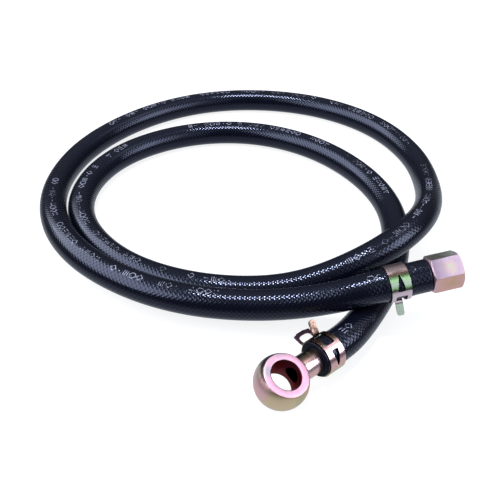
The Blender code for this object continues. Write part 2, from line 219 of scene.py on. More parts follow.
# Barbed tails, which the hose is pushed over.
TAIL_BORE_RADIUS = 2.4
TAIL_ROOT_RADIUS = 3.4
TAIL_BARB_RADIUS = 3.8
TAIL_BARBS = 3
TAIL_BARB_PITCH = 6.0
COLLAR_RADIUS = 6.15
COLLAR_START = 10.2
FILLET_RADIUS = 1.2
FILLET_REACH = 0.8
HOSE_START = 21.3

# Union nut, 17 mm across flats.
NUT_AXIS = Vector(joints["nut_spin"]["axis"]).normalized()
NUT_LENGTH = 15.5
NUT_REAR = Vector(joints["nut_spin"]["pos_m"]) / MM - NUT_AXIS * NUT_LENGTH / 2
NUT_FLATS_RADIUS = 8.5
NUT_REAR_WALL = 3.5
NUT_REAR_HOLE_RADIUS = 4.9
NUT_THREAD_RADIUS = 6.2
NUT_THREAD_DEPTH = 0.75
NUT_THREAD_PITCH = 1.5
NUT_THREAD_CREST = (0.42, 0.55)
NUT_THREAD_RUNOUT = 2.2
NUT_MOUTH = 0.6
NUT_ROLL = 34.4
NECK_RADIUS = 4.5
CONE_RADIUS = 5.8
CONE_NOSE_RADIUS = 3.6
CONE_COLLAR_LENGTH = 2.4
CONE_LENGTH = 4.0
HOSE_TO_NUT = 0.5

# Spring band clamps.
BAND_WIDTH = 10.0
BAND_THICKNESS = 0.75
BAND_CLEARANCE = 0.3
TONGUE_HALF_WIDTH = 1.9
WINDOW_HALF_WIDTH = 2.9
LOOP_HALF_WIDTH = 3.6
TONGUE_EAR_LENGTH = 8.2
LOOP_EAR_LENGTH = 6.6
LOOP_BAR = 1.4
SLOT_HALF_WIDTH = 2.15
SLOT_TAPER_START = 0.35
SLOT_TIP_HALF_WIDTH = 0.5
SLOT_TIP = 233.0
SLOT_END = 287.0
WINDOW_START = 303.0
STRAP_STEP = 6
EAR_FOOT = 10.4
BANJO_CLAMP_RADIUS = HOSE_RADIUS + BANJO_END_SWELL + BAND_CLEARANCE
BANJO_CLAMP_FROM_END = 6.3
BANJO_CLAMP_ROLL = 127.0
BANJO_CLAMP_SPREAD = 45.0
NUT_CLAMP_RADIUS = HOSE_RADIUS + NUT_END_SWELL + BAND_CLEARANCE
NUT_CLAMP_FROM_END = 16.3
NUT_CLAMP_ROLL = -62.0
NUT_CLAMP_SPREAD = 82.0

# The hose's route from the banjo eye to the nut, as in the CAD.
ROUTE = [
    EYE_CENTRE + BANJO_AXIS * HOSE_START,
    EYE_CENTRE + BANJO_AXIS * 31.0,
    EYE_CENTRE + BANJO_AXIS * 42.0,
    (57, -110, 9.3), (65.5, -97, 8.3), (73.5, -83, 8), (80.8, -68, 8), (86.8, -50.5, 8),
    (91, -31.5, 8), (92.5, -12.5, 8), (90.8, 5.5, 8), (86, 22.5, 8), (78.5, 39, 8),
    (67.5, 56, 8), (52.5, 72.5, 8), (34, 85.5, 8), (14, 94, 8), (-7, 97.5, 8),
    (-29, 96, 8), (-51, 89, 8), (-71, 76.5, 8), (-87, 60, 8), (-97.5, 39.5, 8),
    (-102, 18.5, 8), (-101, -2.5, 8), (-94.5, -21.5, 8), (-83.5, -39, 8), (-68.5, -55, 8),
    (-49.5, -67.5, 8), (-27.5, -76, 8), (-4, -80, 8), (19, -79.5, 8.3), (37.3, -77.8, 12),
    (53.2, -74.5, 17), (67.7, -69.3, 21.6), (80.8, -61.5, 24.8), (92.2, -51.1, 26),
    (102.2, -37.1, 24.5), (110, -19.5, 20.2), (116, 0, 14.6), (119.8, 21, 10),
    (121, 41.5, 8), (119, 60.5, 8), (111.5, 84.5, 8), (99, 106.5, 8), (81, 125.5, 8),
    (57, 141, 8), (29, 150, 8), (-1, 152.5, 8), (-32, 147.5, 8), (-59, 134.5, 8),
    (-82, 116, 8), (-101, 92.5, 8), (-114.5, 65.5, 8), (-120.5, 37.5, 8.2),
    (-120, 10, 9.8), (-114, -15.5, 12.4), (-103.8, -38.5, 14), (-89, -58, 14.4),
    (-70.5, -73.3, 14.2), (-49.5, -85.5, 14), (-26, -93.5, 13.6), (-2, -96.8, 13.4),
    (21, -97.9, 14.6), (41, -98.8, 18.9), (55.5, -99, 23.4),
    NUT_REAR - NUT_AXIS * 28.6,
    NUT_REAR - NUT_AXIS * 20.0,
    NUT_REAR - NUT_AXIS * 10.0,
    NUT_REAR - NUT_AXIS * HOSE_TO_NUT,
]


# ---- meshes


def spaced(start, end, count):
    """Evenly spaced values from the start to the end, both included."""
    return [start + (end - start) * i / count for i in range(count + 1)]


def link(name, data):
    """Put a new object in the scene."""
    made = bpy.data.objects.new(name, data)
    bpy.context.scene.collection.objects.link(made)
    return made


def new_mesh(name, shape):
    """Turn a bmesh into a mesh and free it."""
    mesh = bpy.data.meshes.new(name)
    shape.to_mesh(mesh)
    shape.free()
    return mesh


def add_object(name, shape, surface, matrix=None, sharp=35.0):
    """Link a bmesh as a named object, smooth except at its sharp edges."""
    mesh = new_mesh(name, shape)
    made = link(name, mesh)
    mesh.materials.append(surface)
    mesh.shade_smooth()
    mesh.set_sharp_from_angle(angle=math.radians(sharp))
    if matrix:
        made.matrix_world = matrix
    return made


def axis_frame(origin, axis, towards):
    """Matrix whose X runs along the axis and whose Z leans towards the given vector."""
    x = axis.normalized()
    z = (towards - towards.dot(x) * x).normalized()
    y = z.cross(x)
    return Matrix.Translation(origin * MM) @ Matrix((x, y, z)).transposed().to_4x4()


def around(axis, angle):
    """Unit vector square to the axis, at an angle in degrees up from its level right-hand side."""
    side = axis.cross(UP).normalized()
    up = side.cross(axis).normalized()
    return side * math.cos(math.radians(angle)) + up * math.sin(math.radians(angle))


def turned(outline, steps=96):
    """Bmesh turned about X from an outline of (along, radius) points, running towards +X outside.

    The outline closes on itself, unless it starts and ends on the axis.
    """
    shape = bmesh.new()
    rings = []
    for along, radius in outline:
        if radius == 0:
            rings.append([shape.verts.new((along * MM, 0, 0))] * steps)
            continue
        rings.append([
            shape.verts.new((along * MM, radius * math.cos(turn) * MM, radius * math.sin(turn) * MM))
            for turn in spaced(0, 2 * math.pi, steps)[:-1]
        ])
    pairs = list(zip(rings, rings[1:]))
    if outline[0][1] > 0:
        pairs.append((rings[-1], rings[0]))
    for before, after in pairs:
        for i in range(steps):
            j = (i + 1) % steps
            corners = dict.fromkeys((before[i], before[j], after[j], after[i]))
            shape.faces.new(list(corners))
    bmesh.ops.recalc_face_normals(shape, faces=shape.faces)
    return shape


def apply_modifiers(target):
    """Replace an object's mesh with its evaluated one and clear its modifiers."""
    bpy.context.view_layer.update()
    evaluated = target.evaluated_get(bpy.context.evaluated_depsgraph_get())
    mesh = bpy.data.meshes.new_from_object(evaluated)
    target.modifiers.clear()
    target.data = mesh


def cut(target, shape, matrix, operation="DIFFERENCE"):
    """Apply an exact Boolean with a bmesh placed by the matrix."""
    cutter = link("cutter", new_mesh("cutter", shape))
    cutter.matrix_world = matrix
    step = target.modifiers.new("Cut", "BOOLEAN")
    step.operation = operation
    step.object = cutter
    step.solver = "EXACT"
    apply_modifiers(target)
    bpy.data.objects.remove(cutter)


def soften(target, width, angle):
    """Round the sharp edges of an object."""
    bevel = target.modifiers.new("Soften", "BEVEL")
    bevel.width = width * MM
    bevel.segments = 2
    bevel.limit_method = "ANGLE"
    bevel.angle_limit = math.radians(angle)
    bevel.harden_normals = True


# ---- hose


class Route:
    """The hose's centreline, measured by distance along it from the banjo end."""

    def __init__(self, controls):
        points = [Vector(point) for point in controls]
        points.insert(0, 2 * points[0] - points[1])
        points.append(2 * points[-1] - points[-2])
        self.points = []
        for i in range(len(points) - 3):
            a, b, c, d = points[i:i + 4]
            for step in range(SPLINE_STEPS):
                t = step / SPLINE_STEPS
                self.points.append((
                    (1 - t) ** 3 * a
                    + (3 * t ** 3 - 6 * t ** 2 + 4) * b
                    + (-3 * t ** 3 + 3 * t ** 2 + 3 * t + 1) * c
                    + t ** 3 * d
                ) / 6)
        self.points.append(points[-2].copy())
        self.distances = [0.0]
        for before, after in zip(self.points, self.points[1:]):
            self.distances.append(self.distances[-1] + (after - before).length)
        self.length = self.distances[-1]
        around_each = self.points[:1] + self.points + self.points[-1:]
        self.tangents = [(after - before).normalized() for before, after in zip(around_each, around_each[2:])]

    def at(self, distance):
        """Point and tangent at a distance."""
        high = min(max(bisect.bisect_right(self.distances, distance), 1), len(self.distances) - 1)
        low = high - 1
        share = (distance - self.distances[low]) / (self.distances[high] - self.distances[low])
        point = self.points[low].lerp(self.points[high], share)
        return point, self.tangents[low].lerp(self.tangents[high], share).normalized()

    def surface(self, distance, radius, angle):
        """Point at a radius and an angle in degrees, counted up from the level right-hand side."""
        point, tangent = self.at(min(max(distance, 0.0), self.length))
        return point + around(tangent, angle) * radius


def swell(distance, length):
    """How far the hose is stretched over its tails."""
    return (
        BANJO_END_SWELL * max(0.0, 1 - distance / SWELL_LENGTH)
        + NUT_END_SWELL * max(0.0, 1 - (length - distance) / SWELL_LENGTH)
    )


def bulge(distance, length):
    """How far the cover stands out at its lip on the banjo end and beside both clamps."""
    to_end = length - distance
    out = LIP_SWELL * max(0.0, 1 - (distance / LIP_LENGTH) ** 4)
    for middle, end in ((BANJO_CLAMP_FROM_END, distance), (NUT_CLAMP_FROM_END, to_end)):
        beside = abs(end - middle) - BAND_WIDTH / 2 - SHOULDER_OFFSET
        out += SHOULDER_SWELL * math.exp(-(beside / SHOULDER_LENGTH) ** 2)
    return out


def ring_places(start, end, step, dressed):
    """Distances of a tube's rings: evenly spaced, and closer at the ends and clamps of a dressed one."""
    places = spaced(start, end, round((end - start) / step))
    if dressed:
        fine = [LIP_RING_STEP * i for i in range(13)]
        for middle in (BANJO_CLAMP_FROM_END, NUT_CLAMP_FROM_END):
            for side in (-1, 1):
                fine += [middle + side * (BAND_WIDTH / 2 + CLAMP_RING_STEP * i) for i in range(-1, 9)]
        places += [at for offset in fine for at in (start + offset, end - offset) if start < at < end]
    places.sort()
    kept = [places[0]]
    for at in places[1:]:
        if at - kept[-1] > SMALLEST_RING_STEP:
            kept.append(at)
    kept[-1] = end
    return kept


def tube(name, route, radius, wall, surface, ring_step, sides, edge, dressed=False, setback=0.0):
    """One layer of the hose: a tube along the route, with rounded cut ends that are set back inside the hose.

    The dressed layer is the cover: it bulges at its lip and beside its clamps, and it closes over the braid.
    The UV map holds the distance along in metres and the share of a turn around.
    """
    length = route.length
    start = setback
    end = length - setback
    turns = spaced(0, math.pi / 2, 4)[:-1]
    rounding = [(edge * (1 - math.cos(turn)), edge * (1 - math.sin(turn))) for turn in turns]
    outside = [(start + along, radius - drop) for along, drop in rounding]
    outside += [(at, radius) for at in ring_places(start + edge, end - edge, ring_step, dressed)]
    outside += [(end - along, radius - drop) for along, drop in reversed(rounding)]
    inner = radius - wall
    if dressed:
        mouth = inner - MOUTH_DROP
        hollow = ring_places(start + MOUTH_DEPTH + 0.1, end - MOUTH_DEPTH - 0.1, ring_step * 2, False)
        inside = [(start, mouth), (start + MOUTH_DEPTH, mouth)]
        inside += [(at, inner) for at in hollow]
        inside += [(end - MOUTH_DEPTH, mouth), (end, mouth)]
    else:
        inside = [(at, inner) for at in ring_places(start, end, ring_step, False)]

    shape = bmesh.new()
    layer = shape.loops.layers.uv.new("hose")
    rings = []
    for i, (distance, reach) in enumerate(outside + inside[::-1]):
        point, tangent = route.at(distance)
        grown = reach + swell(distance, length)
        if dressed and i < len(outside):
            grown += bulge(distance, length)
        rings.append((distance, [
            shape.verts.new((point + around(tangent, 360 * j / sides) * grown) * MM) for j in range(sides)
        ]))
    for (before_at, before), (after_at, after) in zip(rings, rings[1:] + rings[:1]):
        for i in range(sides):
            j = (i + 1) % sides
            face = shape.faces.new((before[i], before[j], after[j], after[i]))
            corners = ((before_at, i), (before_at, i + 1), (after_at, i + 1), (after_at, i))
            for corner, (along, turn) in zip(face.loops, corners):
                corner[layer].uv = (along * MM, turn / sides)
    bmesh.ops.recalc_face_normals(shape, faces=shape.faces)
    return add_object(name, shape, surface, sharp=60.0)


def rectangle(x, y, width, height):
    """Quads of a rectangle, in strips low enough to follow the hose's curve."""
    strips = math.ceil(height / MARK_STRIP)
    for i in range(strips):
        low = y - height / 2 + height * i / strips
        high = low + height / strips
        yield [(x - width / 2, low), (x + width / 2, low), (x + width / 2, high), (x - width / 2, high)]


def outline_mark(sides, size, stroke, turn=0.0):
    """Quads of an outlined regular polygon."""
    for i in range(sides):
        corners = []
        for step, inset in ((i, 0), (i + 1, 0), (i + 1, stroke), (i, stroke)):
            angle = 2 * math.pi * (step / sides + turn)
            corners.append(((size / 2 - inset) * math.cos(angle), (size / 2 - inset) * math.sin(angle)))
        yield corners


def mark(kind):
    """Quads of one printed mark, centred on zero: x along the hose, y around it."""
    tall = MARK_HEIGHT
    pen = MARK_STROKE
    if kind == "diamond":
        yield from outline_mark(4, tall, pen * 1.4)
    elif kind == "triangle":
        yield from outline_mark(3, tall, pen * 2, 0.25)
    elif kind == "hexagon":
        yield from outline_mark(6, tall, pen * 1.1)
    elif kind == "bars":
        for x in (-BAR_SPACING, 0.0, BAR_SPACING):
            yield from rectangle(x, 0, pen, tall * 0.8)
    elif kind == "dash":
        yield from rectangle(0, 0, MARK_WIDTH * 0.9, pen)
    elif kind == "dots":
        for x in (-DOT_SPACING / 2, DOT_SPACING / 2):
            yield from rectangle(x, -tall / 4, pen * 1.5, pen * 1.5)
            yield from rectangle(x, tall / 4, pen * 1.5, pen * 1.5)
    elif kind == "dot":
        yield from rectangle(0, 0, pen * 1.6, pen * 1.6)
    elif kind == "stack":
        for level in (-1, 0, 1):
            yield from rectangle(0, level * (tall - pen) / 2.4, MARK_WIDTH, pen)


def print_angle(distance):
    """Where the print stands around the hose, in degrees, as the hose twists slowly along its length."""
    for (start, before), (end, after) in zip(PRINT_TWIST, PRINT_TWIST[1:]):
        if distance <= end:
            share = (distance - start) / (end - start)
            return before + (after - before) * share
    return PRINT_TWIST[-1][1]


def printed_line(route, surface):
    """The line of generic marks printed along the hose, as a thin layer on its cover."""
    shape = bmesh.new()
    for i in range(int(route.length / MARK_PITCH)):
        distance = MARK_PITCH * (i + 0.5)
        kind = PRINT_GROUP[i % len(PRINT_GROUP)]
        if kind == "space" or not any(start < distance < end for start, end in PRINT_STRETCHES):
            continue
        angle = print_angle(distance)
        reach = HOSE_RADIUS + swell(distance, route.length) + bulge(distance, route.length) + MARK_LIFT
        for corners in mark(kind):
            shape.faces.new([
                shape.verts.new(route.surface(distance + x, reach, angle + math.degrees(y / reach)) * MM)
                for x, y in corners
            ])
    bmesh.ops.remove_doubles(shape, verts=shape.verts, dist=0.000005)
    made = add_object("printed_line", shape, surface)
    thickness = made.modifiers.new("Ink", "SOLIDIFY")
    thickness.thickness = MARK_LIFT * 1.6 * MM
    thickness.offset = -1.0
    return made


# ---- fittings


def banjo_eye(surface):
    """The ball with two flats, its bolt bore and the hole that leads to the hose."""
    # Half of the profile: the rounded rim, the flat face and the rounded edge of the bore.
    face_radius = math.sqrt(EYE_RADIUS ** 2 - EYE_HALF_WIDTH ** 2)
    limit = math.asin(EYE_HALF_WIDTH / EYE_RADIUS) - 0.03
    half = [
        (EYE_HALF_WIDTH - 0.09, face_radius - 0.02),
        (EYE_HALF_WIDTH, face_radius - 0.22),
        (EYE_HALF_WIDTH, EYE_BORE_RADIUS + 0.5),
        (EYE_HALF_WIDTH - 0.08, EYE_BORE_RADIUS + 0.3),
        (EYE_HALF_WIDTH - EYE_BORE_EDGE, EYE_BORE_RADIUS),
    ]
    outline = [(-along, radius) for along, radius in reversed(half)]
    turns = spaced(-limit, limit, 28)
    outline += [(EYE_RADIUS * math.sin(turn), EYE_RADIUS * math.cos(turn)) for turn in turns]
    outline += half
    bore_half = EYE_HALF_WIDTH - EYE_BORE_EDGE
    outline += [(along, EYE_BORE_RADIUS) for along in spaced(bore_half, -bore_half, 6)[1:-1]]
    eye = add_object("banjo_ball", turned(outline, 128), surface,
                     axis_frame(EYE_CENTRE, EYE_NORMAL, BANJO_AXIS))

    # The socket for the tail's bore and the wider recess for its collar.
    outside = EYE_RADIUS + 2
    for start, radius in ((SOCKET_START, SOCKET_RADIUS), (COLLAR_START, COLLAR_RADIUS + 0.1)):
        hole = [(start, 0), (start, radius), (outside, radius), (outside, 0)]
        cut(eye, turned(hole, 64), axis_frame(EYE_CENTRE, BANJO_AXIS, UP))
    eye.data.shade_smooth()
    eye.data.set_sharp_from_angle(angle=math.radians(32))
    return eye


def barbs(start, sign):
    """Outline of a barbed stretch from its shoulder to its tip, running in the sign's direction."""
    points = [(start, TAIL_ROOT_RADIUS)]
    for i in range(TAIL_BARBS):
        foot = start + sign * (TAIL_BARB_PITCH * i + 2.0)
        points.append((foot, TAIL_ROOT_RADIUS))
        points.append((foot + sign * 0.3, TAIL_BARB_RADIUS))
        points.append((foot + sign * 0.6, TAIL_BARB_RADIUS))
        points.append((foot + sign * (TAIL_BARB_PITCH - 2.0), TAIL_ROOT_RADIUS))
    tip = start + sign * (TAIL_BARB_PITCH * TAIL_BARBS + 1.0)
    points.append((tip, TAIL_ROOT_RADIUS - 0.3))
    points.append((tip, TAIL_BORE_RADIUS))
    return points


def banjo_tail(surface):
    """The barbed tail with its collar and the brazed fillet that joins it to the ball."""
    fillet_start = math.sqrt(EYE_RADIUS ** 2 - (COLLAR_RADIUS + FILLET_REACH) ** 2)
    outline = [(COLLAR_START + GAP, TAIL_BORE_RADIUS), (COLLAR_START + GAP, COLLAR_RADIUS)]
    outline.append((fillet_start - 0.2, COLLAR_RADIUS + FILLET_REACH - 0.1))
    for turn in spaced(0, math.pi / 2, 8):
        outline.append((
            fillet_start + FILLET_RADIUS * (1 - math.cos(turn)),
            COLLAR_RADIUS + FILLET_REACH * (1 - math.sin(turn)),
        ))
    shoulder = HOSE_START - GAP
    outline += [(shoulder - 0.4, COLLAR_RADIUS), (shoulder - 0.1, COLLAR_RADIUS - 0.1)]
    outline += [(shoulder, COLLAR_RADIUS - 0.4)] + barbs(shoulder, 1)
    return add_object("banjo_stem", turned(outline), surface, axis_frame(EYE_CENTRE, BANJO_AXIS, UP), 28)


def nut_tail(surface):
    """The barbed tail with the neck that the nut turns on and the cone that seals."""
    shoulder = -HOSE_TO_NUT + GAP
    head = NUT_REAR_WALL + GAP
    nose = head + CONE_COLLAR_LENGTH + CONE_LENGTH
    outline = list(reversed(barbs(shoulder, -1))) + [
        (shoulder, NECK_RADIUS),
        (head, NECK_RADIUS),
        (head, CONE_RADIUS - 0.2),
        (head + 0.2, CONE_RADIUS),
        (head + CONE_COLLAR_LENGTH, CONE_RADIUS),
        (nose - 0.2, CONE_NOSE_RADIUS + 0.1),
        (nose, CONE_NOSE_RADIUS - 0.2),
        (nose, TAIL_BORE_RADIUS + 0.2),
        (nose - 0.2, TAIL_BORE_RADIUS),
    ]
    return add_object("cone_tail", turned(outline), surface, axis_frame(NUT_REAR, NUT_AXIS, UP), 28)


def union_nut(surface):
    """The hexagon nut with chamfered ends, its threaded mouth and the hole for the tail's neck."""
    place = axis_frame(NUT_REAR, NUT_AXIS, UP)
    corner_radius = NUT_FLATS_RADIUS / math.cos(math.radians(30))
    shape = bmesh.new()
    bmesh.ops.create_cone(
        shape, cap_ends=True, segments=6, radius1=corner_radius * MM, radius2=corner_radius * MM,
        depth=NUT_LENGTH * MM,
        matrix=Matrix.Translation((NUT_LENGTH / 2 * MM, 0, 0)) @ Matrix.Rotation(math.pi / 2, 4, "Y"),
    )
    nut = add_object("hexagon_nut", shape, surface, place @ Matrix.Rotation(math.radians(NUT_ROLL), 4, "X"))
    end_radius = NUT_FLATS_RADIUS - 0.2
    outside = corner_radius + 0.5
    chamfer = (outside - end_radius) * math.tan(math.radians(30))
    rounding = [
        (0.0, 0), (0.0, end_radius), (chamfer, outside),
        (NUT_LENGTH - chamfer, outside), (NUT_LENGTH, end_radius), (NUT_LENGTH, 0),
    ]
    cut(nut, turned(rounding, 144), place, "INTERSECT")

    # The neck's hole, a plain runout, the thread's rings and a flared mouth.
    root_radius = NUT_THREAD_RADIUS + NUT_THREAD_DEPTH
    along = NUT_REAR_WALL + NUT_THREAD_RUNOUT
    bore = [
        (-1.0, 0), (-1.0, NUT_REAR_HOLE_RADIUS), (NUT_REAR_WALL, NUT_REAR_HOLE_RADIUS),
        (NUT_REAR_WALL, root_radius), (along, root_radius),
    ]
    while along + NUT_THREAD_PITCH < NUT_LENGTH - NUT_MOUTH:
        bore += [(along + NUT_THREAD_PITCH * share, NUT_THREAD_RADIUS) for share in NUT_THREAD_CREST]
        along += NUT_THREAD_PITCH
        bore.append((along, root_radius))
    bore += [(NUT_LENGTH + 0.2, root_radius + 0.2), (NUT_LENGTH + 1, 0)]
    cut(nut, turned(bore), place)
    nut.data.shade_smooth()
    nut.data.set_sharp_from_angle(angle=math.radians(25))
    soften(nut, 0.14, 28)
    apply_modifiers(nut)
    return nut


def strap_angles(start, end):
    """Angles of the rows of a stretch of strap, both ends included."""
    return spaced(start, end, math.ceil((end - start) / STRAP_STEP))


def band_sheet(radius, spread):
    """The middle sheet of a clamp's strap, as a bmesh in the frame of its hose: X along the hose.

    The strap starts at the tongue ear, which stands at angle zero, runs round the hose and ends at the
    loop ear, which stands at the spread angle. Its last stretch has a window that the tongue passes
    through, and a tapered slot makes it springy. Rows close together keep corners tight when it is smoothed.
    """
    shape = bmesh.new()
    half = BAND_WIDTH / 2

    def row(offsets, angle, height=0.0):
        turn = math.radians(angle)
        reach = (radius + height) * MM
        return [
            shape.verts.new((across * MM, reach * math.cos(turn), reach * math.sin(turn)))
            for across in offsets
        ]

    def join(before, after, skip=()):
        for i in range(len(before) - 1):
            if i not in skip:
                shape.faces.new((before[i], before[i + 1], after[i + 1], after[i]))
        return after

    # The tongue: its ear with a rounded end, then a narrow stretch round to where the strap widens.
    narrow = (-TONGUE_HALF_WIDTH, 0, TONGUE_HALF_WIDTH)
    last = row([x * 0.5 for x in narrow], 0, TONGUE_EAR_LENGTH)
    for height in (TONGUE_EAR_LENGTH - 0.5, TONGUE_EAR_LENGTH * 0.7, TONGUE_EAR_LENGTH * 0.4, 1.3):
        last = join(last, row(narrow, 0, height))
    last = join(last, row(narrow, 1.5, 0.5))
    last = join(last, row(narrow, 5, 0.05))
    for angle in strap_angles(10, spread + 8):
        last = join(last, row(narrow, angle))

    # The full width, with the tapered slot in its last third.
    full = (-half, -TONGUE_HALF_WIDTH, 0, TONGUE_HALF_WIDTH, half)
    full_from = spread + 15
    start = row(full, full_from)
    join(last, start[1:4])
    shape.faces.new((last[0], start[1], start[0]))
    shape.faces.new((last[2], start[4], start[3]))
    last = start
    for angle in strap_angles(full_from, SLOT_TIP - 4)[1:]:
        last = join(last, row(full, angle))
    tip = join(last, row((-half, -SLOT_TIP_HALF_WIDTH, 0, SLOT_TIP_HALF_WIDTH, half), SLOT_TIP))
    last = tip[:2] + tip[3:]
    for share in spaced(0, 1, 8)[1:]:
        gap = SLOT_TAPER_START + (SLOT_HALF_WIDTH - SLOT_TAPER_START) * share
        last = join(last, row((-half, -gap, gap, half), SLOT_TIP + (SLOT_END - SLOT_TIP) * share), skip=(1,))
    last = join(last, row((-half, -SLOT_HALF_WIDTH, SLOT_HALF_WIDTH, half), SLOT_END + 3))

    # The window's two rails, then the loop ear with its bar and lip.
    window = (-half, -WINDOW_HALF_WIDTH, WINDOW_HALF_WIDTH, half)
    window_end = 360.0 + spread
    for angle in (SLOT_END + 8, WINDOW_START - 3, WINDOW_START):
        last = join(last, row(window, angle))
    for angle in strap_angles(WINDOW_START, window_end - 6)[1:]:
        last = join(last, row(window, angle), skip=(1,))
    opening_top = LOOP_EAR_LENGTH - LOOP_BAR
    for angle, height, opening in (
        (window_end - 1.5, 0.4, WINDOW_HALF_WIDTH + 0.2),
        (window_end, 1.3, LOOP_HALF_WIDTH),
        (window_end, opening_top * 0.6, LOOP_HALF_WIDTH),
        (window_end, opening_top, LOOP_HALF_WIDTH - 0.3),
        (window_end, opening_top + LOOP_BAR * 0.5, LOOP_HALF_WIDTH - 0.6),
        (window_end, LOOP_EAR_LENGTH, LOOP_HALF_WIDTH - 0.8),
    ):
        after = row((-half, -opening, opening, half), angle, height)
        last = join(last, after, skip=(1,) if height <= opening_top else ())
    lip = row((-half * 0.42, half * 0.42), window_end + 2.2, LOOP_EAR_LENGTH + 0.75)
    tip = row((-half * 0.4, half * 0.4), window_end + 5.2, LOOP_EAR_LENGTH + 1.0)
    join(last[1:3], lip)
    join(lip, tip)
    bmesh.ops.recalc_face_normals(shape, faces=shape.faces)
    return shape


def spring_clamp(name, centre, axis, tongue, inner_radius, spread, surface):
    """A spring band clamp whose tongue ear stands along the tongue vector."""
    shape = band_sheet(inner_radius + BAND_THICKNESS / 2, spread)
    made = add_object(name, shape, surface, axis_frame(centre, axis, axis.cross(tongue)))
    smooth = made.modifiers.new("Smooth", "SUBSURF")
    smooth.levels = 2
    smooth.render_levels = 2
    smooth.boundary_smooth = "ALL"
    thickness = made.modifiers.new("Thickness", "SOLIDIFY")
    thickness.thickness = BAND_THICKNESS * MM
    thickness.offset = 0.0
    soften(made, 0.13, 50)
    apply_modifiers(made)
    return made


# ---- materials


def feed(tree, target, inputs):
    """Give a node its inputs, each a number, a vector, a colour or another node's output."""
    for key, value in inputs.items():
        if isinstance(value, bpy.types.NodeSocket):
            tree.links.new(value, target.inputs[key])
        elif target.inputs[key].type == "RGBA":
            target.inputs[key].default_value = (*value, 1)
        else:
            target.inputs[key].default_value = value


def node(tree, kind, inputs=None, **settings):
    """A shader node with its settings and inputs."""
    made = tree.nodes.new("ShaderNode" + kind)
    for name, value in settings.items():
        setattr(made, name, value)
    feed(tree, made, inputs or {})
    return made


def noise(tree, place, scale, detail):
    """Value of a noise texture."""
    return node(tree, "TexNoise", {"Vector": place, "Scale": scale, "Detail": detail}).outputs[0]


def maths(tree, operation, *values):
    """Output of a Math node."""
    return node(tree, "Math", dict(enumerate(values)), operation=operation).outputs[0]


def blank_material(name):
    """A material and its tree and Principled shader."""
    made = bpy.data.materials.new(name)
    made.use_nodes = True
    return made, made.node_tree, made.node_tree.nodes["Principled BSDF"]


def colour_ramp(tree, factor, stops):
    """Colour picked from (position, colour) stops."""
    made = node(tree, "ValToRGB", {0: factor})
    elements = made.color_ramp.elements
    while len(elements) < len(stops):
        elements.new(1.0)
    for element, (position, colour) in zip(elements, stops):
        element.position = position
        element.color = (*colour, 1)
    return made.outputs[0]


def remap(tree, value, *limits):
    """The value mapped from the first two limits to the last two, or to 0 and 1."""
    return node(tree, "MapRange", dict(enumerate((value, *limits)))).outputs[0]


def blend(tree, factor, first, second, kind="MIX"):
    """Mix of two colours."""
    return node(tree, "Mix", {0: factor, 6: first, 7: second}, data_type="RGBA", blend_type=kind).outputs[2]


def blend_value(tree, factor, first, second):
    """Mix of two numbers."""
    return node(tree, "Mix", {0: factor, 2: first, 3: second}, data_type="FLOAT").outputs[0]


def hose_place(tree):
    """Distance along the hose in metres and share of a turn around it, from its UV map."""
    return node(tree, "SeparateXYZ", {0: node(tree, "UVMap", uv_map="hose").outputs[0]}).outputs


def braid_weave(tree):
    """Height of a diamond braid."""
    place = hose_place(tree)
    along = maths(tree, "MULTIPLY", place[0], 1 / (BRAID_PITCH * MM))
    turns = maths(tree, "MULTIPLY", place[1], BRAID_YARNS)
    waves = [
        maths(tree, "SINE", maths(tree, "MULTIPLY", maths(tree, crossing, along, turns), math.pi))
        for crossing in ("ADD", "SUBTRACT")
    ]
    return maths(tree, "ABSOLUTE", maths(tree, "MULTIPLY", *waves))


def braid_relief(tree, depth):
    """Normals of the diamond relief of a braid, whose depth in millimetres may vary."""
    place = hose_place(tree)
    along = maths(tree, "MULTIPLY", place[0], 2 * math.pi / (BRAID_PITCH * MM))
    turns = maths(tree, "MULTIPLY", place[1], 2 * math.pi * BRAID_YARNS)
    side = maths(tree, "SIGN", maths(
        tree, "SUBTRACT", maths(tree, "COSINE", turns), maths(tree, "COSINE", along),
    ))
    steep = maths(tree, "MULTIPLY", side, depth)
    yarn_spacing = 2 * math.pi * HOSE_RADIUS / BRAID_YARNS
    slopes = [
        maths(tree, "MULTIPLY", steep, maths(tree, "MULTIPLY", maths(tree, "SINE", angle), slope))
        for angle, slope in ((along, -math.pi / BRAID_PITCH), (turns, math.pi / yarn_spacing))
    ]
    lean = [maths(tree, "MULTIPLY_ADD", slope, 0.5, 0.5) for slope in slopes]
    direction = node(tree, "CombineXYZ", {0: lean[0], 1: lean[1], 2: 1.0}).outputs[0]
    return node(tree, "NormalMap", {"Color": direction}, uv_map="hose").outputs[0]


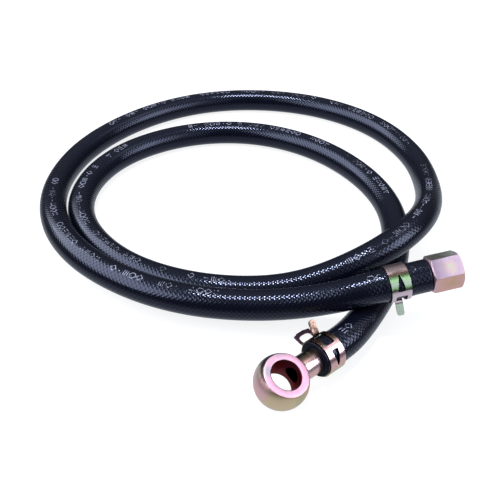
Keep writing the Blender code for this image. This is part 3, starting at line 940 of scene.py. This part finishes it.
def rubber_material(length):
    """Glossy black rubber, with the braid under it showing as a fine diamond relief whose valleys reflect
    less as painted shade, and matt cut ends.
    """
    made, tree, shader = blank_material("glossy_rubber")
    place = node(tree, "TexCoord").outputs["Object"]
    patches = noise(tree, place, 26.0, 2.0)
    smears = noise(tree, place, 160.0, 4.0)
    from_middle = maths(tree, "ABSOLUTE", maths(tree, "SUBTRACT", hose_place(tree)[0], length * MM / 2))
    cut_end = maths(tree, "GREATER_THAN", from_middle, (length / 2 - 0.3) * MM)
    crowns = remap(tree, braid_weave(tree), 0.05, 0.3)
    gloss = blend_value(tree, crowns, 0.32, remap(tree, smears, 0.35, 0.7, 0.08, 0.16))
    # Painted shade: the valleys between the braid's ridges reflect less.
    level = blend_value(tree, crowns, 0.28, 0.55)
    depth = remap(tree, patches, 0.35, 0.65, RELIEF_DEPTH * 0.6, RELIEF_DEPTH)
    fine = node(tree, "Bump", {
        "Height": noise(tree, place, 900.0, 3.0), "Strength": 0.3, "Distance": RUBBER_GRAIN * MM,
        "Normal": braid_relief(tree, depth),
    })
    feed(tree, shader, {
        "Base Color": RUBBER, "IOR": 1.5, "Specular Tint": RUBBER_SHEEN,
        "Roughness": blend_value(tree, cut_end, gloss, 0.5),
        "Specular IOR Level": blend_value(tree, cut_end, level, 0.12),
        "Normal": fine.outputs[0],
    })
    return made


def ink_material():
    """Worn light grey print."""
    made, tree, shader = blank_material("worn_print")
    place = node(tree, "TexCoord").outputs["Object"]
    wear = noise(tree, place, 800.0, 3.0)
    faded = noise(tree, place, 40.0, 1.0)
    level = maths(tree, "ADD", wear, remap(tree, faded, 0.35, 0.65, -0.14, 0.12))
    tint = colour_ramp(tree, level, [(0.37, WORN_INK), (0.53, INK)])
    feed(tree, shader, {"Base Color": tint, "Roughness": 0.4})
    return made


def braid_material():
    """Off-white textile braid."""
    made, tree, shader = blank_material("woven_braid")
    weave = braid_weave(tree)
    tint = colour_ramp(tree, weave, [(0.0, YARN_SHADE), (1.0, YARN)])
    relief = node(tree, "Bump", {"Height": weave, "Distance": BRAID_DEPTH * MM})
    feed(tree, shader, {"Base Color": tint, "Roughness": 0.85, "Normal": relief.outputs[0]})
    return made


def liner_material():
    """Smooth black rubber of the inner tube."""
    made, tree, shader = blank_material("liner_rubber")
    grain = noise(tree, node(tree, "TexCoord").outputs["Object"], 600.0, 3.0)
    relief = node(tree, "Bump", {"Height": grain, "Strength": 0.3, "Distance": LINER_GRAIN * MM})
    feed(tree, shader, {
        "Base Color": LINER_RUBBER, "Roughness": remap(tree, grain, 0.3, 0.7, 0.4, 0.6),
        "Normal": relief.outputs[0],
    })
    return made


class Plating:
    """Bright zinc plating whose interference tints, with painted light and shade among them, are set by place
    on the piece.
    """

    def __init__(self, name, patch_size):
        self.material, self.tree, self.shader = blank_material(name)
        self.place = node(self.tree, "TexCoord").outputs["Object"]
        split = node(self.tree, "SeparateXYZ", {0: self.place})
        self.x, self.y, self.z = (maths(self.tree, "DIVIDE", out, MM) for out in split.outputs)
        patches = noise(self.tree, self.place, 1 / (patch_size * MM), 2.0)
        self.patches = remap(self.tree, patches, 0.3, 0.7, -1.0, 1.0)

    def reach(self, first, second):
        """Distance from an axis, in millimetres."""
        squares = [maths(self.tree, "MULTIPLY", value, value) for value in (first, second)]
        return maths(self.tree, "SQRT", maths(self.tree, "ADD", *squares))

    def turn(self):
        """Angle around the piece's X axis, in degrees from 0 to 360."""
        angle = maths(self.tree, "DEGREES", maths(self.tree, "ARCTAN2", self.z, self.y))
        return maths(self.tree, "FLOORED_MODULO", angle, 360.0)

    def drifting(self, value, drift, start=0.0, end=360.0):
        """A value between its start and end as 0 to 1, with its borders moved by the patches."""
        moved = maths(self.tree, "ADD", value, maths(self.tree, "MULTIPLY", self.patches, drift))
        return remap(self.tree, moved, start, end)

    def finish(self, tint, roughness):
        """Set the tint, soiled along fine scratches, and a fine grain that the roughness varies with."""
        tree = self.tree
        grain = noise(tree, self.place, 1400.0, 4.0)
        stretched = node(tree, "Mapping", {0: self.place, 3: (1.0, 0.12, 1.0)}).outputs[0]
        scratches = noise(tree, stretched, 2600.0, 3.0)
        soil = blend(tree, remap(tree, scratches, 0.6, 0.76), WHITE, SOIL)
        spread = remap(tree, grain, 0.3, 0.7, 0.85, 1.2)
        relief = node(tree, "Bump", {"Height": grain, "Strength": 0.5, "Distance": PLATING_GRAIN * MM})
        feed(tree, self.shader, {
            "Metallic": 1.0, "Base Color": blend(tree, 1.0, tint, soil, "MULTIPLY"),
            "Roughness": maths(tree, "MULTIPLY", spread, roughness), "Normal": relief.outputs[0],
        })
        return self.material


def eye_material():
    """Matt pink and grey faces, a satin ball that runs from gold to pink to dark with painted shade on its
    shaded side, a plum bore painted darker as shade, and a socket painted black as shade.
    """
    look = Plating("eye_zinc", 9.0)
    tree = look.tree
    turn = look.turn()
    # The belt's olive and near-black stretch, on the same side as the darkening below, is painted shade.
    belt = colour_ramp(tree, look.drifting(turn, 14.0), [
        (0.0, GOLD), (0.12, TAN), (0.3, OLIVE_SHADE), (0.46, SHADE_DARK), (0.52, OLIVE_SHADE), (0.58, PALE_GOLD), (0.66, PINK),
        (0.76, PINK), (0.83, STRAW), (0.92, STRAW), (1.0, GOLD),
    ])
    belt = blend(tree, look.drifting(look.x, 1.5, -2.0, -7.0), belt, GOLD)
    # Painted shade: the ball darkens to brown and near-black on its side away from the lamps.
    shade_side = maths(tree, "COSINE", maths(tree, "RADIANS", maths(tree, "SUBTRACT", turn, 188.0)))
    level = maths(tree, "ADD", look.x, maths(tree, "MULTIPLY", shade_side, 2.6))
    ball = blend(tree, look.drifting(level, 0.3, 6.5, 7.8), belt, blend(tree, 0.5, SHADE_BROWN, SHADE_DARK))
    face_tint = colour_ramp(tree, look.drifting(turn, 40.0), [
        (0.1, FACE_PINK), (0.42, FACE_PINK), (0.55, FACE_GREY), (0.64, FACE_GREY), (0.74, FACE_PINK),
    ])
    height = maths(tree, "ABSOLUTE", look.x)
    on_face = remap(tree, height, EYE_HALF_WIDTH - 0.12, EYE_HALF_WIDTH - 0.02)
    in_bore = remap(tree, look.reach(look.y, look.z), EYE_BORE_RADIUS + 0.5, EYE_BORE_RADIUS + 0.3)
    tint = blend(tree, on_face, ball, face_tint)
    # Painted shade in the bore: dark plum, darker towards one end.
    tint = blend(tree, in_bore, tint, colour_ramp(tree, look.drifting(look.x, 1.5, -7.0, 7.0), [
        (0.1, PLUM), (0.5, SHADED_PLUM), (0.95, SHADED_PLUM),
    ]))
    # Painted shade: the socket's wall beyond the bore is black.
    beyond = maths(tree, "GREATER_THAN", look.z, EYE_BORE_RADIUS - 0.6)
    shaded_socket = maths(tree, "LESS_THAN", look.reach(look.x, look.y), SOCKET_RADIUS + 0.05)
    tint = blend(tree, maths(tree, "MULTIPLY", beyond, shaded_socket), tint, SHADE_BLACK)
    feed(tree, look.shader, {"Specular Tint": blend(tree, in_bore, WHITE, BORE_SHEEN)})
    return look.finish(tint, remap(tree, on_face, 0.0, 1.0, 0.34, 0.5))


def stem_material():
    """Dark olive at the back as painted shade, copper over the top, pink down the front as a painted
    highlight, gold beneath, and a black inside painted as shade.
    """
    look = Plating("stem_zinc", 6.0)
    tree = look.tree
    # Painted light in the tints: the dark olive at the back is painted shade, and the pale rose and pink down
    # the front are a painted highlight.
    tint = colour_ramp(tree, look.drifting(look.turn(), 5.0), [
        (0.0, OLIVE_SHADE), (0.21, OLIVE_SHADE), (0.245, BRONZE), (0.285, COPPER), (0.36, ROSE), (0.43, ROSE),
        (0.46, PINK), (0.52, SALMON), (0.75, GOLD), (1.0, OLIVE_SHADE),
    ])
    # Painted shade: everything narrower than the collar, the barbed tip and the bore, is black.
    inside = maths(tree, "LESS_THAN", look.reach(look.y, look.z), COLLAR_RADIUS - 0.4)
    tint = blend(tree, inside, tint, SHADE_BLACK)
    return look.finish(tint, 0.25)


def cone_material():
    """Gold, pink and lilac along the tail inside the nut."""
    look = Plating("cone_zinc", 5.0)
    return look.finish(colour_ramp(look.tree, look.drifting(look.x, 4.0, -20.0, 10.0), [
        (0.0, GOLD), (0.5, PINK), (1.0, PALE_LILAC),
    ]), 0.3)


def nut_material():
    """Each flat has its own tint: sage, lilac with a gold heart, salmon, tan, pink and gold."""
    look = Plating("nut_zinc", 4.0)
    tree = look.tree
    turn = look.turn()
    flats = colour_ramp(tree, maths(tree, "DIVIDE", turn, 360.0), [
        (60 / 360, SAGE), (180 / 360, TAN), (240 / 360, GOLD),
        (240.5 / 360, PALE_PINK), (300 / 360, PALE_PINK), (300.5 / 360, GOLD),
    ])
    middle = maths(tree, "SUBTRACT", look.x, NUT_LENGTH * 0.55)
    across = maths(tree, "SUBTRACT", maths(tree, "FLOORED_MODULO", turn, 60.0), 30.0)
    heart = look.reach(middle, maths(tree, "MULTIPLY", across, 0.16))
    hearts = colour_ramp(tree, look.drifting(heart, 1.6, 8.0, 0.0), [
        (0.0, PALE_PINK), (0.4, PALE_LILAC), (0.65, ROSE), (1.0, PALE_GOLD),
    ])
    hearts = blend(tree, look.drifting(look.x, 1.2, 8.5, 1.5), hearts, LILAC_GREY)
    flats = blend(tree, maths(tree, "MULTIPLY", maths(tree, "COMPARE", turn, 30.0, 30.0),
                              look.drifting(look.x, 1.0, 6.0, 14.0)), flats, PALE_SAGE)
    on_lilac = maths(tree, "COMPARE", turn, 90.0, 30.0)
    on_salmon = maths(tree, "COMPARE", turn, 150.0, 30.0)
    tint = blend(tree, on_lilac, flats, hearts)
    warm = blend(tree, look.drifting(heart, 1.6, 5.0, 1.0), SALMON, TAN)
    tint = blend(tree, on_salmon, tint, warm)
    tint = blend(tree, remap(tree, look.x, 1.1, 0.3), tint, PALE_PINK)
    front = remap(tree, look.x, NUT_LENGTH - 0.5, NUT_LENGTH - 0.3)
    tint = blend(tree, front, tint, blend(tree, remap(tree, look.patches, -1.0, 1.0), PALE_PINK, TAN))
    # Painted shade: the hole and thread inside are darker bronze.
    inside = maths(tree, "LESS_THAN", look.reach(look.y, look.z), NUT_THREAD_RADIUS + NUT_THREAD_DEPTH + 0.1)
    tint = blend(tree, inside, tint, BRONZE)
    return look.finish(tint, 0.38)


def strap_finish(look, drift, stops, ears, inner_radius, roughness):
    """Plating of a clamp, from its tints around the strap and the tint of its ears, with the strap's inner
    face painted brown as shade.
    """
    tree = look.tree
    strap = colour_ramp(tree, look.drifting(look.turn(), drift), stops)
    reach = look.reach(look.y, look.z)
    tint = blend(tree, maths(tree, "GREATER_THAN", reach, EAR_FOOT), strap, ears)
    # Painted shade: the strap's inner face against the hose turns brown.
    inside = remap(tree, reach, inner_radius + 0.25, inner_radius + 0.05)
    return look.finish(blend(tree, inside, tint, SHADE_BROWN), roughness)


def banjo_clamp_material():
    """Gold and pink strap with a painted highlight and painted shade in its tints, a stained tongue painted
    brown at its foot as shade, and a dark purple loop ear.
    """
    look = Plating("banjo_clamp_zinc", 5.0)
    tree = look.tree
    stained = blend(tree, remap(tree, noise(tree, look.place, 900.0, 1.0), 0.42, 0.58), RUST, BRONZE)
    reach = look.reach(look.y, look.z)
    # Painted shade: the tongue darkens to brown at its foot.
    tongue = blend(tree, remap(tree, reach, EAR_FOOT, EAR_FOOT + 2.0), SHADE_BROWN, stained)
    ears = blend(tree, maths(tree, "GREATER_THAN", look.z, 3.0), tongue, PURPLE)
    # Strap tints with painted light: the pink and rose band is a painted highlight, and the bronze and brown
    # around the ears are painted shade.
    return strap_finish(look, 6.0, [
        (0.0, SHADE_BROWN), (0.3, GOLD), (0.6, GOLD), (0.66, SALMON), (0.7, PINK), (0.74, ROSE),
        (0.79, ROSE), (0.83, PINK), (0.86, BRONZE), (0.92, SHADE_BROWN),
    ], ears, BANJO_CLAMP_RADIUS, 0.22)


def nut_clamp_material():
    """Umber on top, mint down the side by the slot with a painted highlight and painted shade, lavender under
    it, and pale mint ears painted brown at their foot as shade.
    """
    look = Plating("nut_clamp_zinc", 5.0)
    reach = look.reach(look.y, look.z)
    # Painted shade: the ears darken to brown at their foot.
    ears = blend(look.tree, remap(look.tree, reach, EAR_FOOT, EAR_FOOT + 1.0), SHADE_BROWN, PALE_MINT)
    # Strap tints with painted light: the pale mint middle of the mint band is a painted highlight, and the
    # brown and olive lines at its edges are painted shade.
    return strap_finish(look, 4.0, [
        (0.0, LAVENDER), (0.1, MINT), (0.35, UMBER), (0.6, UMBER), (0.635, SHADE_BROWN), (0.655, OLIVE_SHADE),
        (0.675, MINT), (0.73, PALE_MINT), (0.765, MINT), (0.785, OLIVE_SHADE), (0.8, LAVENDER), (0.9, LAVENDER),
    ], ears, NUT_CLAMP_RADIUS, 0.25)


# ---- room


def soft_box(name, azimuth, elevation, distance, width, height, radiance):
    """An area light that faces the middle of the scene."""
    tilt = Matrix.Rotation(math.radians(-elevation), 3, "Y")
    away = Matrix.Rotation(math.radians(azimuth), 3, "Z") @ tilt @ Vector((1, 0, 0))
    light = bpy.data.lights.new(name, "AREA")
    light.shape = "RECTANGLE"
    light.size = width
    light.size_y = height
    light.energy = radiance * math.pi * width * height
    light.color = BOX_TINT
    made = link(name, light)
    made.location = away * distance
    made.rotation_euler = away.to_track_quat("Z", "Y").to_euler()
    made.visible_camera = False


def build_room():
    """Pale floor, soft boxes and a room that is bright low down and dim above, and the camera."""
    scene = bpy.context.scene
    world = bpy.data.worlds.new("room")
    world.use_nodes = True
    scene.world = world
    tree = world.node_tree
    way = node(tree, "SeparateXYZ", {0: node(tree, "TexCoord").outputs["Generated"]})
    height = remap(tree, way.outputs[2], -1.0, 1.0)
    far, near = (
        colour_ramp(tree, height, [(at, tuple(level * part for part in ROOM_TINT)) for at, level in levels])
        for levels in (FAR_LEVELS, NEAR_LEVELS)
    )
    glow = blend(tree, remap(tree, way.outputs[1], -0.45, 0.35), near, far)
    seen = node(tree, "LightPath").outputs["Is Camera Ray"]
    feed(tree, tree.nodes["Background"], {"Color": blend(tree, seen, glow, BACKDROP)})

    for name, values in SOFT_BOXES.items():
        soft_box(name, *values)

    surface, tree, shader = blank_material("pale_floor")
    feed(tree, shader, {
        "Base Color": FLOOR_GREY, "Roughness": 0.9, "Specular IOR Level": 0.1,
        "Emission Color": WHITE, "Emission Strength": FLOOR_GLOW,
    })
    shape = bmesh.new()
    bmesh.ops.create_circle(shape, cap_ends=True, segments=96, radius=FLOOR_RADIUS)
    floor = add_object("floor", shape, surface)
    floor.visible_glossy = False
    floor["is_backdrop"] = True

    camera = link("camera", bpy.data.cameras.new("camera"))
    camera.location = CAMERA_PLACE
    camera.rotation_euler = (math.radians(90 - CAMERA_PITCH), 0, 0)
    camera.data.lens = CAMERA_LENS
    camera.data.sensor_width = 36.0
    camera.data.clip_start = 0.01
    scene.camera = camera
    scene.view_settings.view_transform = "Standard"


# ---- assembly


def stand_in(piece, body, node_name):
    """Make a piece ride on its body and hide the CAD node that it takes the place of."""
    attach(piece, body)
    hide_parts(node_name)
    return piece


def main():
    """Build the room and the pieces, and hide the CAD nodes that the pieces take the place of."""
    build_room()
    route = Route(ROUTE)
    cover = tube("hose_skin", route, HOSE_RADIUS, COVER_WALL, rubber_material(route.length),
                 ring_step=2.5, sides=48, edge=0.7, dressed=True)
    braid = tube("textile_braid", route, BRAID_RADIUS, BRAID_WALL, braid_material(),
                 ring_step=6.0, sides=32, edge=0.15, setback=2.0)
    liner = tube("inner_tube", route, LINER_RADIUS, LINER_WALL, liner_material(),
                 ring_step=6.0, sides=32, edge=0.3)
    marks = printed_line(route, ink_material())
    stand_in(cover, "hose", "hose_cover")
    stand_in(braid, "hose", "hose_braid")
    stand_in(liner, "hose", "hose_liner")
    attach(marks, "hose")

    stand_in(banjo_eye(eye_material()), "hose", "banjo_eye")
    stand_in(banjo_tail(stem_material()), "hose", "banjo_tail")
    cone = stand_in(nut_tail(cone_material()), "hose", "nut_tail")
    nut = stand_in(union_nut(nut_material()), "nut", "union_nut")
    banjo_clamp = spring_clamp(
        "banjo_end_band", EYE_CENTRE + BANJO_AXIS * (HOSE_START + BANJO_CLAMP_FROM_END), -BANJO_AXIS,
        around(BANJO_AXIS, BANJO_CLAMP_ROLL), BANJO_CLAMP_RADIUS, BANJO_CLAMP_SPREAD, banjo_clamp_material(),
    )
    nut_clamp = spring_clamp(
        "nut_end_band", NUT_REAR - NUT_AXIS * (HOSE_TO_NUT + NUT_CLAMP_FROM_END), NUT_AXIS,
        around(NUT_AXIS, NUT_CLAMP_ROLL), NUT_CLAMP_RADIUS, NUT_CLAMP_SPREAD, nut_clamp_material(),
    )
    stand_in(banjo_clamp, "banjo_clamp", "banjo_end_clamp")
    stand_in(nut_clamp, "nut_clamp", "nut_end_clamp")

    [point * MM for point in route.points[::6]]


main()

bounds = {"cad": cad_bounds, "visual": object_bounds()}
{key: [list(corner) for corner in value] for key, value in bounds.items()}
